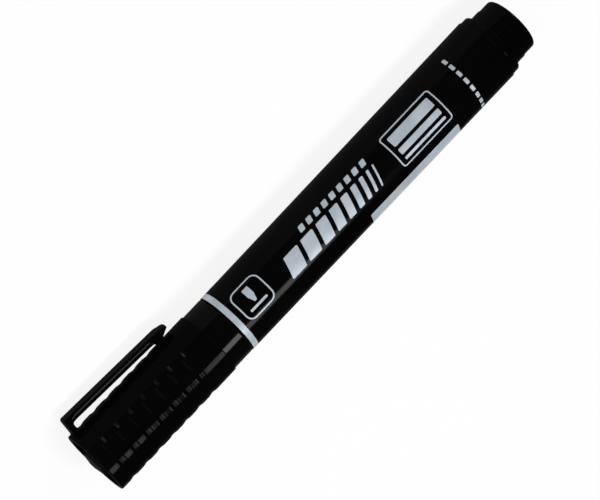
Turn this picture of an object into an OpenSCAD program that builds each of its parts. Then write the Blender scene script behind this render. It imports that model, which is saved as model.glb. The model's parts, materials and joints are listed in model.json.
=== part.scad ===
// Round marker with a ribbed pull-off cap, lying on its side with the clip on the desk.
// Each piece is drawn upright about Z, with Z = 0 on the rear face of the tail flange and the
// cap at the top. The last step lays it down, so that the cap end points along +X.

/* [Barrel] */
// Length of barrel that shows between the tail flange and the cap
barrel_len = 86.9; // [75:0.1:110]
// Outside diameter at the tail
barrel_d = 17; // [16.6:0.05:19]
// Narrowing of the radius from the tail to the cap
barrel_taper = 0.4; // [0.1:0.05:0.6]
// Wall of the barrel at the tail
barrel_wall = 1.7; // [1.4:0.05:2]
// Inner shoulder that the reservoir stops against
front_wall = 1.5; // [1:0.1:3]
// Length of the neck under the cap
neck_len = 9.5; // [8:0.1:11]
// Wall of the neck at its lands
neck_wall = 1.575; // [1.4:0.025:2]
// Depth of the relief between the neck's two lands
neck_relief = 0.2; // [0.1:0.05:0.4]
// Width of each land that the cap slides on
land_w = 1.8; // [1:0.1:3]
// Number of ribs that centre the reservoir
bore_ribs = 6; // [3:1:10]
// Thickness of a centring rib
bore_rib_w = 0.8; // [0.5:0.1:1.5]
// Distance from the tail plug's seat to the ribs
rib_setback = 1; // [0.5:0.1:3]
// Bevel on the barrel's outer edges
barrel_edge = 0.25; // [0.1:0.05:0.5]

/* [Tail plug] */
// Radial step from the barrel down to the flange
flange_step = 0.25; // [0.1:0.05:0.6]
// Thickness of the flange
flange_t = 1.85; // [1.5:0.05:4]
// Length of the ring that a posted cap grips
stub_seat_len = 3.1; // [2:0.1:5]
// Length of the slimmer lead-in at the very end
stub_lead_len = 3.9; // [2:0.1:5]
// Radial step from the grip ring down to the lead-in
stub_step = 0.18; // [0.1:0.02:0.4]
// Rounding of the stub's end
stub_edge = 1.1; // [0.5:0.1:1.6]
// Height of the shallow dome on the stub's end
stub_dome = 0.35; // [0.1:0.05:0.6]
// Radial step from the barrel's bore up to the seat that holds the plug
seat_step = 0.4; // [0.3:0.05:0.6]
// Depth of the plug in the barrel
plug_insert_len = 9; // [6:0.1:14]
// Wall of the plug
plug_wall = 1.5; // [1.1:0.05:2]
// Thickness of the closed end of the plug
plug_floor = 1.4; // [1:0.1:2.5]

/* [Reservoir] */
// Space between the film and the barrel's bore, which the ribs cross
reservoir_gap = 0.5; // [0.3:0.05:0.7]
// Thickness of the film
wrap_t = 0.15; // [0.1:0.05:0.3]

/* [Nib and holder] */
// Diameter of the nib
nib_d = 5; // [3.6:0.05:5.4]
// Length of nib that stands out of the nozzle
nib_out = 5.5; // [4.6:0.1:8]
// Length of the bullet-shaped end
nib_taper = 4; // [3:0.1:4.4]
// Radius of the writing tip
nib_tip_r = 0.9; // [0.5:0.05:1.4]
// Depth of the nib in the reservoir
nib_in = 8; // [4:0.1:15]
// Depth of the holder in the neck
holder_insert_len = 8.5; // [6:0.1:9]
// Wall of the holder's sleeve
holder_wall = 1.1; // [0.8:0.05:1.6]
// Width of the holder's flange, on the neck's front face
holder_flange_w = 1; // [0.6:0.05:1.1]
// Thickness of that flange
holder_flange_t = 1.2; // [0.8:0.1:2]
// Radial step from that flange down to the foot of the cone
cone_step = 0.8; // [0.5:0.05:1.2]
// Length of the cone
cone_len = 5; // [3:0.1:7]
// Diameter of the nozzle
nozzle_d = 8.2; // [7.6:0.05:8.8]
// Length of the nozzle
nozzle_len = 7.4; // [5:0.1:9]
// Bevel on the nozzle's lip
nozzle_bevel = 0.8; // [0.3:0.05:1]
// Number of vent slots beside the nib
vents = 3; // [2:1:6]
// Width of a vent slot
vent_w = 0.7; // [0.4:0.05:1]
// Depth of a vent slot beyond the nib's bore
vent_depth = 0.5; // [0.3:0.05:0.6]

/* [Cap] */
// Length of the cap from its mouth to its end rim
cap_len = 42.2; // [40:0.1:50]
// Radial step from the barrel up to the cap's grip
grip_step = 0.2; // [0.1:0.05:0.6]
// Wall of the cap behind the grip
cap_wall = 1.5; // [1.2:0.05:1.6]
// Radial step from the grip down to the smooth collar at the mouth
collar_step = 0.25; // [0.15:0.05:0.3]
// Length of that collar
collar_len = 5.6; // [4:0.1:8]
// Wall of the collar, round the bore that slides on the neck
collar_wall = 0.725; // [0.65:0.025:0.9]
// Length of that bore beyond the holder's flange
cap_bore_spare = 1.3; // [0.5:0.1:2]
// Thickness of the end wall
end_wall = 2.8; // [2.2:0.1:4]
// Depth of the recess in the end
end_recess = 0.7; // [0.4:0.05:1]
// Width of the rim round that recess
rim_w = 1.3; // [1:0.05:1.6]
// Bevel on the rim's and the collar's edges
cap_edge = 0.25; // [0.1:0.05:0.4]
// Number of grip grooves
grooves = 7; // [3:1:7]
// Distance from the end rim to the first groove
groove_first = 3.8; // [3.7:0.05:5]
// Distance from one groove to the next
groove_pitch = 4.24; // [3:0.02:4.4]
// Width of a groove
groove_w = 1.7; // [1:0.05:1.8]
// Depth of a groove
groove_depth = 0.25; // [0.15:0.05:0.35]

/* [Inner cap] */
// Wall of the seal cup
seal_wall = 0.8; // [0.6:0.05:1]
// Floor of the seal cup
seal_floor = 1.2; // [0.8:0.1:2]
// Gap between the cup's mouth and the holder's cone
seal_stop = 0.4; // [0.2:0.05:1]
// Stud through the cap's end wall
stud_d = 5.2; // [4.6:0.05:5.5]
// Snap head on that stud
head_d = 6.2; // [5.9:0.05:8]
// Height of the head beyond the rim
head_rise = 0.8; // [0.2:0.05:1.2]
// Height of the dome on the head
head_dome = 0.45; // [0.1:0.05:0.5]

/* [Clip] */
// Length of the clip
clip_len = 31.4; // [31:0.1:38]
// Width of the clip
clip_w = 4.6; // [3.4:0.05:5]
// Thickness of the arm
clip_t = 1.7; // [1.3:0.05:2]
// Distance from the cap's end rim to the clip
clip_setback = 1; // [0.9:0.05:1.2]
// Lean of the clip's end face, from its foot to its top
clip_rake = 0.35; // [0:0.05:0.6]
// Thickness of the web at the root
clip_web = 1.6; // [1.2:0.05:1.7]
// Bulge of the round foot beyond each side of the web
foot_bulge = 0.15; // [0.1:0.05:0.2]
// Depth of the foot's axis below the grip surface
foot_sink = 0.5; // [0.4:0.05:0.6]
// Space between the arm and the cap at the root
clip_space_root = 2.3; // [2:0.02:3.4]
// Space between the arm and the cap at the nub
clip_space_nub = 1.04; // [1:0.02:1.9]
// Length of the nub under the arm
nub_len = 2.2; // [1.5:0.1:3]
// Length of the lip beyond the nub
lip_len = 2.3; // [1.5:0.1:3]
// Thickness of the lip's end
lip_t = 0.5; // [0.3:0.05:0.8]
// Rise of the lip's underside above the nub
lip_rise = 1.5; // [1.2:0.05:1.9]
// Rounding of the lip's two corners, seen from outside
lip_corner_r = 1.5; // [0.5:0.1:2.2]
// Rounding of the arm's outer edges
clip_edge = 0.5; // [0.2:0.05:0.6]

/* [Clearances] */
// Round a piece that is pressed in or snapped home
fit_gap = 0.02; // [0.01:0.01:0.04]
// Round the neck and the nozzle, inside the cap
slide_gap = 0.05; // [0.03:0.01:0.08]
// Round the stud that the cap turns on
turn_gap = 0.06; // [0.03:0.01:0.1]
// Round the clip's foot
foot_gap = 0.08; // [0.05:0.01:0.12]
// Between the clip's nub and the cap
nub_gap = 0.12; // [0.08:0.02:0.3]
// Between the cap's mouth and the barrel
mouth_gap = 0.1; // [0.05:0.05:0.3]

/* [Hidden] */
$fn = 96;
// Overlap that lets a cut break cleanly through a surface
past = 0.5;

// Stations along the axis
z_stub_end = -stub_seat_len - stub_lead_len;
z_barrel = flange_t + fit_gap;
z_plug_end = z_barrel + plug_insert_len;
z_seat_end = z_plug_end + fit_gap;
z_shoulder = z_barrel + barrel_len;
z_bore_end = z_shoulder - front_wall;
z_neck = z_shoulder + neck_len;
z_holder = z_neck - holder_insert_len;
z_flange = z_neck + fit_gap;
z_cone = z_flange + holder_flange_t;
z_nozzle = z_cone + cone_len;
z_lip = z_nozzle + nozzle_len;
z_tip = z_lip + nib_out;
z_mouth = z_shoulder + mouth_gap;
z_rim = z_mouth + cap_len;
z_floor = z_rim - end_recess;
z_end_wall = z_floor - end_wall;
z_seal = z_nozzle + seal_stop;
z_cup_end = z_end_wall - turn_gap;
z_head = z_floor + turn_gap;
z_head_top = z_rim + head_rise;

// The reservoir fills the bore from the plug to the front shoulder
z_reservoir = z_seat_end;
z_reservoir_end = z_bore_end - fit_gap;
z_nib = z_reservoir_end - nib_in;

// Radii
barrel_r = barrel_d / 2;
barrel_front_r = barrel_r - barrel_taper;
bore_r = barrel_r - barrel_wall;
seat_r = bore_r + seat_step;
flange_r = barrel_r - flange_step;
cap_r = barrel_front_r + grip_step;
cap_inner_r = cap_r - cap_wall;
collar_r = cap_r - collar_step;
cap_bore_r = collar_r - collar_wall;
post_r = cap_bore_r - slide_gap;
neck_bore_r = post_r - neck_wall;
reservoir_r = bore_r - reservoir_gap;
core_r = reservoir_r - wrap_t - fit_gap;
holder_flange_r = neck_bore_r + holder_flange_w;
cone_r = holder_flange_r - cone_step;
nib_r = nib_d / 2;
nib_bore_r = nib_r + fit_gap;
seal_r = nozzle_d / 2 + slide_gap;

// The clip: its end face, its foot, and the arm's inner and outer lines
z_clip = z_rim - clip_setback;
z_foot = z_clip - clip_web / 2;
r_foot = cap_r - foot_sink;
foot_r = clip_web / 2 + foot_bulge;
z_nub = z_clip - clip_len + lip_len;
z_lip_end = z_clip - clip_len;
clip_lean = atan((clip_space_root - clip_space_nub) / (z_clip - z_nub));
clip_reach = cap_r + clip_space_root + clip_t / cos(clip_lean);
function arm_inner_r(z) = cap_r + clip_space_root - (z_clip - z) * tan(clip_lean);
function arm_outer_r(z) = arm_inner_r(z) + clip_t / cos(clip_lean);

// Turn about the axis at which the clip's rounded corner and the cap both touch the desk
corner_r = clip_reach - clip_edge;
corner_w = clip_w / 2 - clip_edge;
clip_down = asin((cap_r - clip_edge) / norm([corner_r, corner_w])) - atan2(corner_w, corner_r);

// Lays an upright piece along X, with the clip low on the -Y side
module laid() {
  rotate([clip_down - 90, 0, 0])
    rotate([0, 90, 0])
      children();
}

// Extrudes an outline of radius and height to a width across the clip
module across(width) {
  rotate([90, 0, 0])
    linear_extrude(width, center = true)
      children();
}

// Part of a disc that bulges from a flat of the given half width, by the given height
module bulge(half_w, rise) {
  dome_r = (half_w * half_w + rise * rise) / (2 * rise);
  intersection() {
    translate([0, rise - dome_r])
      circle(dome_r, $fn = 360);
    square([half_w, rise]);
  }
}

// Outline of one raised land on the neck, from its lower to its upper edge
function land(z) = [
  [post_r - neck_relief, z],
  [post_r, z + neck_relief],
  [post_r, z + land_w - neck_relief],
  [post_r - neck_relief, z + land_w],
];

module barrel() {
  rib_r = reservoir_r + fit_gap;
  rib_h = bore_r - rib_r + past;
  z_rib = z_seat_end + rib_setback;
  color("#131315")
    laid() {
      rotate_extrude()
        polygon(concat(
          [
            [seat_r, z_barrel],
            [barrel_r - barrel_edge, z_barrel],
            [barrel_r, z_barrel + barrel_edge],
            [barrel_front_r, z_shoulder - barrel_edge],
            [barrel_front_r - barrel_edge, z_shoulder],
            [post_r - neck_relief, z_shoulder],
          ],
          land(z_shoulder + neck_relief),
          land(z_neck - land_w - neck_relief),
          [
            [post_r - neck_relief, z_neck],
            [neck_bore_r, z_neck],
            [neck_bore_r, z_bore_end],
            [bore_r, z_bore_end],
            [bore_r, z_seat_end],
            [seat_r, z_seat_end],
          ]
        ));
      for (i = [0 : bore_ribs - 1])
        rotate([0, 0, (i + 0.5) * 360 / bore_ribs])
          translate([rib_r, -bore_rib_w / 2, z_rib])
            cube([rib_h, bore_rib_w, z_bore_end - z_rib + past]);
    }
}

// The stub's outline: grip ring, lead-in and rounded end
module stub_outline() {
  lead_r = post_r - stub_step;
  square_end = z_stub_end + stub_dome;
  translate([0, -stub_seat_len])
    square([post_r, stub_seat_len]);
  translate([0, square_end + stub_edge])
    square([lead_r, -stub_seat_len - square_end - stub_edge]);
  translate([0, square_end])
    square([lead_r - stub_edge, stub_edge]);
  translate([lead_r - stub_edge, square_end + stub_edge])
    circle(stub_edge);
  translate([0, square_end])
    mirror([0, 1])
      bulge(lead_r - stub_edge, stub_dome);
}

module tail_plug() {
  insert_r = seat_r - fit_gap;
  hollow_r = insert_r - plug_wall;
  z_hollow = z_stub_end + stub_dome + plug_floor;
  color("#131315")
    laid()
      rotate_extrude()
        difference() {
          union() {
            stub_outline();
            polygon([
              [0, 0],
              [flange_r - barrel_edge, 0],
              [flange_r, barrel_edge],
              [flange_r, flange_t - barrel_edge],
              [flange_r - barrel_edge, flange_t],
              [insert_r, flange_t],
              [insert_r, z_plug_end - barrel_edge],
              [insert_r - barrel_edge, z_plug_end],
              [0, z_plug_end],
            ]);
          }
          translate([0, z_hollow])
            square([hollow_r, z_plug_end - z_hollow + past]);
        }
}

module reservoir_core() {
  color("#26262a")
    laid()
      difference() {
        translate([0, 0, z_reservoir])
          cylinder(r = core_r, h = z_reservoir_end - z_reservoir);
        translate([0, 0, z_nib - fit_gap])
          cylinder(r = nib_bore_r, h = nib_in + past);
      }
}

module reservoir_wrap() {
  color("#d8dade")
    laid()
      translate([0, 0, z_reservoir])
        difference() {
          cylinder(r = reservoir_r, h = z_reservoir_end - z_reservoir);
          translate([0, 0, -past])
            cylinder(r = reservoir_r - wrap_t, h = z_reservoir_end - z_reservoir + 2 * past);
        }
}

module nib_holder() {
  sleeve_r = neck_bore_r - fit_gap;
  color("#17171a")
    laid()
      difference() {
        rotate_extrude()
          polygon([
            [sleeve_r - holder_wall, z_holder],
            [sleeve_r, z_holder],
            [sleeve_r, z_flange],
            [holder_flange_r, z_flange],
            [holder_flange_r, z_cone],
            [cone_r, z_cone],
            [nozzle_d / 2, z_nozzle],
            [nozzle_d / 2, z_lip - nozzle_bevel],
            [nozzle_d / 2 - nozzle_bevel, z_lip],
            [nib_bore_r, z_lip],
            [nib_bore_r, z_flange],
            [sleeve_r - holder_wall, z_flange],
          ]);
        for (i = [0 : vents - 1])
          rotate([0, 0, i * 360 / vents])
            translate([0, -vent_w / 2, z_flange - past])
              cube([nib_bore_r + vent_depth, vent_w, z_lip - z_flange + 2 * past]);
      }
}

// The bullet end is a cone that runs tangent into a round tip
module nib() {
  rear_bevel = nib_r / 2;
  z_ball = z_tip - nib_tip_r;
  z_taper = z_tip - nib_taper;
  reach = norm([nib_r, z_ball - z_taper]);
  touch = acos(nib_tip_r / reach) - atan2(z_ball - z_taper, nib_r);
  touch_r = nib_tip_r * cos(touch);
  z_touch = z_ball + nib_tip_r * sin(touch);
  color("#1c1c20")
    laid()
      rotate_extrude() {
        polygon([
          [0, z_nib],
          [nib_r - rear_bevel, z_nib],
          [nib_r, z_nib + rear_bevel],
          [nib_r, z_taper],
          [touch_r, z_touch],
          [0, z_touch],
        ]);
        intersection() {
          translate([0, z_ball])
            circle(nib_tip_r);
          translate([0, z_touch - past])
            square([nib_tip_r, nib_tip_r + past]);
        }
      }
}

// Outline of the cap's wall and end, before the grooves
module cap_outline() {
  z_bore_stop = z_cone + cap_bore_spare;
  z_collar = z_mouth + collar_len;
  bore_step = cap_bore_r - cap_inner_r;
  polygon([
    [cap_bore_r + cap_edge, z_mouth],
    [collar_r - cap_edge, z_mouth],
    [collar_r, z_mouth + cap_edge],
    [collar_r, z_collar],
    [cap_r - cap_edge, z_collar],
    [cap_r, z_collar + cap_edge],
    [cap_r, z_rim - cap_edge],
    [cap_r - cap_edge, z_rim],
    [cap_r - rim_w, z_rim],
    [cap_r - rim_w, z_floor],
    [stud_d / 2 + turn_gap, z_floor],
    [stud_d / 2 + turn_gap, z_end_wall],
    [cap_inner_r, z_end_wall],
    [cap_inner_r, z_bore_stop + bore_step],
    [cap_bore_r, z_bore_stop],
    [cap_bore_r, z_mouth + cap_edge],
  ]);
}

module cap_shell() {
  groove_r = (groove_w * groove_w / 4 + groove_depth * groove_depth) / (2 * groove_depth);
  color("#131315")
    laid()
      difference() {
        rotate_extrude()
          difference() {
            cap_outline();
            for (i = [0 : grooves - 1])
              translate([cap_r + groove_r - groove_depth, z_rim - groove_first - i * groove_pitch])
                circle(groove_r);
          }
        across(clip_w + 2 * foot_gap)
          translate([r_foot, z_foot])
            circle(foot_r + foot_gap);
      }
}

module inner_cap() {
  head_r = head_d / 2;
  z_dome = z_head_top - head_dome;
  color("#17171a")
    laid()
      rotate_extrude() {
        polygon([
          [seal_r + cap_edge, z_seal],
          [seal_r + seal_wall, z_seal],
          [seal_r + seal_wall, z_cup_end],
          [stud_d / 2, z_cup_end],
          [stud_d / 2, z_head],
          [head_r, z_head],
          [head_r, z_dome],
          [0, z_dome],
          [0, z_cup_end - seal_floor],
          [seal_r, z_cup_end - seal_floor],
          [seal_r, z_seal + cap_edge],
        ]);
        translate([0, z_dome])
          bulge(head_r, head_dome);
      }
}

// Side view of the clip: web, arm, nub and lip. It runs past the arm's outer face, which the
// cross-section cuts.
module clip_outline() {
  z_nub_root = z_nub + nub_len;
  z_web = z_clip - clip_web;
  nub_r = cap_r + nub_gap;
  lip_r = nub_r + lip_rise;
  lip_slope = (z_nub - z_lip_end - lip_t) / (arm_outer_r(z_nub) - lip_r - lip_t);
  polygon([
    [r_foot, z_clip],
    [clip_reach - clip_edge, z_clip - clip_rake],
    [clip_reach + past, z_clip - clip_rake - clip_edge - past],
    [arm_outer_r(z_nub) + past, z_nub + past * lip_slope],
    [lip_r + lip_t, z_lip_end + lip_t],
    [lip_r + lip_t / 2, z_lip_end],
    [lip_r, z_lip_end],
    [nub_r + lip_rise / 2, z_nub],
    [nub_r, z_nub + nub_gap],
    [nub_r, z_nub_root - nub_gap],
    [arm_inner_r(z_nub_root), z_nub_root + clip_space_nub / 2],
    [arm_inner_r(z_web), z_web - clip_edge],
    [arm_inner_r(z_web) - clip_edge, z_web],
    [r_foot, z_web],
  ]);
}

// Cross-section of the arm, flush with its outer face and rounded at its two outer edges
module clip_section() {
  depth = clip_reach - cap_inner_r + past;
  translate([-depth, -clip_w / 2])
    square([depth - clip_edge, clip_w]);
  translate([-depth, -corner_w])
    square([depth, 2 * corner_w]);
  for (side = [-1, 1])
    translate([-clip_edge, side * corner_w])
      circle(clip_edge);
}

// Outside view of the clip, rounded at its free end
module clip_plan() {
  corner_y = clip_w / 2 - lip_corner_r;
  translate([-clip_w / 2, z_lip_end + lip_corner_r])
    square([clip_w, clip_len]);
  translate([-corner_y, z_lip_end])
    square([2 * corner_y, clip_len]);
  for (side = [-1, 1])
    translate([side * corner_y, z_lip_end + lip_corner_r])
      circle(lip_corner_r);
}

module pocket_clip() {
  // The bar that the arm is cut from runs well past both of its ends
  bar_len = 3 * clip_len;
  color("#131315")
    laid() {
      intersection() {
        across(clip_w)
          clip_outline();
        translate([clip_reach, 0, z_clip])
          rotate([0, clip_lean, 0])
            linear_extrude(bar_len, center = true)
              clip_section();
        rotate([90, 0, 90])
          linear_extrude(clip_reach + past)
            clip_plan();
      }
      translate([r_foot, 0, z_foot])
        rotate([90, 0, 0])
          cylinder(r = foot_r, h = clip_w, center = true);
    }
}

barrel();
tail_plug();
reservoir_core();
reservoir_wrap();
nib_holder();
nib();
cap_shell();
inner_cap();
pocket_clip();
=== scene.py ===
"""Looks of a capped round marker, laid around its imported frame. Every size is in metres."""
import json
import math

import bmesh
import bpy
from mathutils import Matrix, Vector, noise


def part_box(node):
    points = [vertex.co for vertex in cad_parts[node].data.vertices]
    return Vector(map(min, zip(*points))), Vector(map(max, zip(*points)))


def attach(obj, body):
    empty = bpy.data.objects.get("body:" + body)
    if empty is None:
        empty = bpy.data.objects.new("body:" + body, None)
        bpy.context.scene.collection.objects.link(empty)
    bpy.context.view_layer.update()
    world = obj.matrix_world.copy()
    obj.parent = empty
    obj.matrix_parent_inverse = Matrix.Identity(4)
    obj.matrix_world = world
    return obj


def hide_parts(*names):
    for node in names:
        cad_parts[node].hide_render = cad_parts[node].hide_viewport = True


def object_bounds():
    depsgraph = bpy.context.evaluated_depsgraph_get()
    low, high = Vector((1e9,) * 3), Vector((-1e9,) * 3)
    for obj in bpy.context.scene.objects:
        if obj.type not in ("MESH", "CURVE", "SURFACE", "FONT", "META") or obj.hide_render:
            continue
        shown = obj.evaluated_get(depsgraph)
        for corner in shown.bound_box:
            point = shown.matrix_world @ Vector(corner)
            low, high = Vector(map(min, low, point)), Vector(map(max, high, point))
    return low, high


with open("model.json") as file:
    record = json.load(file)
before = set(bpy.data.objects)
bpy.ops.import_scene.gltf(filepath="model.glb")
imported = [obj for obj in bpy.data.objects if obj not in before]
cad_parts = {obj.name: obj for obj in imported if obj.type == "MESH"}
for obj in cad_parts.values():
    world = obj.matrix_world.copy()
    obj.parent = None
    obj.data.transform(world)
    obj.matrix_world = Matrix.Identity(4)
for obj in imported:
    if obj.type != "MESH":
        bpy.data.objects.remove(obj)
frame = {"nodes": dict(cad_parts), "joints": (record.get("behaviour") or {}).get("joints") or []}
cad_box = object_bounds()
MM = 0.001


def reach(node):
    """Where a node starts and ends along the marker."""
    low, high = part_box(node)
    return low.x, high.x


# Stations along the axis
BARREL_TAIL, NECK_END = reach("barrel")
CAP_MOUTH, CAP_RIM = reach("cap_shell")
STUB_END, PLUG_END = reach("tail_plug")
SEAL_MOUTH, HEAD_TOP = reach("inner_cap")
HOLDER_REAR, NOZZLE_END = reach("nib_holder")
NIB_REAR, NIB_TIP = reach("nib")
LIP_END = reach("pocket_clip")[0]
NECK_LEN = 9.5 * MM
SHOULDER = NECK_END - NECK_LEN

# Where the clip's foot sits, its direction round the axis, and the direction across the clip
clip_joint = next(joint for joint in frame["joints"] if joint["name"] == "clip_flex")
FOOT_X, foot_y, foot_z = clip_joint["pos_m"]
FOOT_R = math.hypot(foot_y, foot_z)
CLIP_TURN = math.atan2(foot_z, foot_y)
ACROSS = Vector((0, -math.sin(CLIP_TURN), math.cos(CLIP_TURN)))

# Gap round a pressed-in piece, and at the ends of the stud that the cap turns on
PRESS_GAP = 0.02 * MM
TURN_GAP = 0.06 * MM

# Barrel
BARREL_TAIL_R = 8.5 * MM
BARREL_FRONT_R = 8.1 * MM
BARREL_EDGE = 0.3 * MM
BORE_R = 6.8 * MM
SHOULDER_WALL = 1.5 * MM
BORE_END = SHOULDER - SHOULDER_WALL
SEAT_R = 7.2 * MM
SEAT_EDGE = 0.15 * MM
SEAT_END = PLUG_END + PRESS_GAP
NECK_BORE_R = 5.7 * MM
NECK_EDGE = 0.1 * MM
LAND_R = 7.275 * MM
LAND_W = 1.8 * MM
LAND_RISE = 0.2 * MM
LAND_EDGE = 0.12 * MM
LAND_FILLET = 0.1 * MM
NECK_R = LAND_R - LAND_RISE
RIBS = 6
RIB_R = 6.32 * MM
RIB_W = 0.8 * MM
RIB_SETBACK = 1 * MM
RIB_START = SEAT_END + RIB_SETBACK
RIB_RAMP = 0.05 * MM

# Tail plug
FLANGE_R = 8.25 * MM
FLANGE_T = 1.85 * MM
FLANGE_FILLET = 0.12 * MM
STUB_SEAT_LEN = 3.1 * MM
STUB_STEP_EDGE = 0.14 * MM
STUB_STEP_FILLET = 0.08 * MM
STUB_LEAD_R = 7.095 * MM
STUB_EDGE = 1.1 * MM
STUB_DOME_R = 51.5 * MM
STUB_WALL = 1.75 * MM
PLUG_R = 7.18 * MM
PLUG_EDGE = 0.3 * MM
PLUG_FILLET = 0.05 * MM
PLUG_RIM_EDGE = 0.2 * MM
PLUG_HOLLOW_R = 5.68 * MM
PLUG_FLOOR = STUB_END + STUB_WALL
PLUG_FLOOR_FILLET = 0.4 * MM

# Nib holder
HOLDER_FACE = NECK_END + PRESS_GAP
HOLDER_R = 5.68 * MM
HOLDER_EDGE = 0.25 * MM
HOLDER_INNER_R = 4.58 * MM
HOLDER_INNER_EDGE = 0.15 * MM
HOLDER_STEP_EDGE = 0.1 * MM
HOLDER_FLANGE_R = 6.7 * MM
HOLDER_FLANGE_T = 1.2 * MM
HOLDER_FLANGE_REAR_EDGE = 0.15 * MM
HOLDER_FLANGE_EDGE = 0.35 * MM
CONE_START = HOLDER_FACE + HOLDER_FLANGE_T
CONE_R = 5.9 * MM
CONE_LEN = 5 * MM
CONE_FILLET = 0.3 * MM
NOZZLE_START = CONE_START + CONE_LEN
NOZZLE_R = 4.1 * MM
NOZZLE_FILLET = 1.2 * MM
NOZZLE_BEVEL = 0.8 * MM
NOZZLE_BEVEL_EDGE = 0.5 * MM
NOZZLE_EDGE = 0.2 * MM
NIB_BORE_R = 2.52 * MM
NIB_BORE_EDGE = 0.08 * MM
VENTS = 3
VENT_W = 0.7 * MM
VENT_DEPTH = 0.5 * MM
VENT_REACH = 0.15 * MM

# Nib
NIB_R = 2.5 * MM
NIB_CHAMFER = NIB_R / 2
NIB_REAR_EDGE = 0.2 * MM
NIB_TAPER = 4 * MM
NIB_TAPER_EDGE = 1.2 * MM
NIB_TIP_R = 0.9 * MM
FIBRE_RISE = 0.02 * MM
FIBRE_LEN = 3 * MM
FIBRE_DENSITY = 14

# Cap
CAP_R = 8.3 * MM
CAP_INNER_R = 6.8 * MM
CAP_BORE_R = 7.325 * MM
CAP_BORE_PAST = 1.3 * MM
CAP_BORE_STOP = CONE_START + CAP_BORE_PAST
CAP_BORE_FILLET = 0.2 * MM
MOUTH_EDGE = 0.25 * MM
COLLAR_R = 8.05 * MM
COLLAR_LEN = 5.6 * MM
COLLAR_END = CAP_MOUTH + COLLAR_LEN
COLLAR_FILLET = 0.1 * MM
GRIP_EDGE = 0.22 * MM
RIM_EDGE = 0.28 * MM
RIM_INNER_R = 7 * MM
RIM_INNER_EDGE = 0.2 * MM
RECESS_DEPTH = 0.7 * MM
RECESS_FLOOR = CAP_RIM - RECESS_DEPTH
RECESS_FILLET = 0.2 * MM
END_WALL_T = 2.8 * MM
END_WALL = RECESS_FLOOR - END_WALL_T
END_WALL_FILLET = 0.5 * MM
STUD_HOLE_R = 2.66 * MM
STUD_HOLE_EDGE = 0.1 * MM
GROOVES = 7
GROOVE_FIRST = 3.8 * MM
GROOVE_PITCH = 4.24 * MM
GROOVE_HALF = 1.15 * MM
GROOVE_DEPTH = 0.22 * MM
GROOVE_EDGE_R = 3 * MM
GROOVE_FLOOR_R = 1.5 * MM
PARTING_LINES = 2
PARTING_W = 0.1 * MM
PARTING_RIDGE = 0.02 * MM
PARTING_INSET = 0.3 * MM
PARTING_LEAST_R = COLLAR_R - PARTING_INSET

# Inner cap, whose head is the boss in the cap's end
HEAD_R = 3.1 * MM
HEAD_EDGE = 0.3 * MM
HEAD_DOME_R = 10.9 * MM
HEAD_FOOT = RECESS_FLOOR + TURN_GAP
HEAD_FOOT_EDGE = 0.1 * MM
STUD_R = 2.6 * MM
STUD_TOP_FILLET = 0.05 * MM
STUD_FILLET = 0.1 * MM
CUP_END = END_WALL - TURN_GAP
CUP_EDGE = 0.4 * MM
CUP_FLOOR_T = 1.2 * MM
CUP_FLOOR = CUP_END - CUP_FLOOR_T
CUP_FLOOR_FILLET = 0.4 * MM
SEAL_R = 4.15 * MM
SEAL_OUTER_R = 4.95 * MM
SEAL_EDGE = 0.25 * MM
SEAL_LEAD = 0.3 * MM

# Moulding mark in the middle of an end face: its points' depth and radius in millimetres
GATE_MARK = ((0.05, 0), (0.05, 0.35), (0.14, 0.5), (0.14, 0.95), (0.01, 1.1))
GATE_R = GATE_MARK[-1][1] * MM
GATE_EDGE = 0.08 * MM

# Clip: arm and root
CLIP_W = 4.6 * MM
CLIP_T = 1.7 * MM
CLIP_INSET = 1 * MM
CLIP_FACE = CAP_RIM - CLIP_INSET
CLIP_RAKE = 0.35 * MM
CLIP_CROWN_R = 0.7 * MM
CLIP_WEB = 1.6 * MM
CLIP_WEB_FILLET = 0.6 * MM
CLIP_FOOT_R = 0.95 * MM
CLIP_SEAT_GAP = 0.08 * MM
CLIP_SPACE_ROOT = 2.3 * MM
CLIP_SPACE_NUB = 1.04 * MM
CLIP_EDGE = 0.5 * MM
CLIP_SOFT_EDGE = 0.14 * MM
CLIP_FOOT_EDGE = CLIP_SOFT_EDGE / 2

# Clip: nub and lip
NUB_GAP = 0.12 * MM
NUB_R = CAP_R + NUB_GAP
NUB_LEN = 2 * MM
NUB_DRAFT = 0.12 * MM
NUB_ROOT_FILLET = 0.5 * MM
NUB_REAR_EDGE = 0.3 * MM
NUB_FRONT_EDGE = 0.25 * MM
LIP_RISE = 1.5 * MM
LIP_R = NUB_R + LIP_RISE
LIP_T = 0.65 * MM
LIP_LEN = 2.3 * MM
LIP_FILLET = 0.4 * MM
LIP_TIP_EDGE = 0.2 * MM
LIP_EDGE = 0.1 * MM
LIP_CORNER_R = 1.5 * MM
LIP_SWEEP_R = 5 * MM
LIP_SWEEP_EDGE = 0.35 * MM
NUB_X = LIP_END + LIP_LEN
NUB_ROOT = NUB_X + NUB_LEN
CLIP_LEAN = (CLIP_SPACE_ROOT - CLIP_SPACE_NUB) / (CLIP_FACE - NUB_X)

# Clip: the soft crease along its sides
CREASE_DEPTH = 0.2 * MM
CREASE_R = 2 * MM
CREASE_TURN = math.radians(21)
CREASE_BEND = CREASE_R * math.sin(CREASE_TURN)
CREASE_START = NUB_ROOT
CREASE_END = CLIP_FACE - CLIP_WEB
CREASE_FADE = 1.5 * MM

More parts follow.
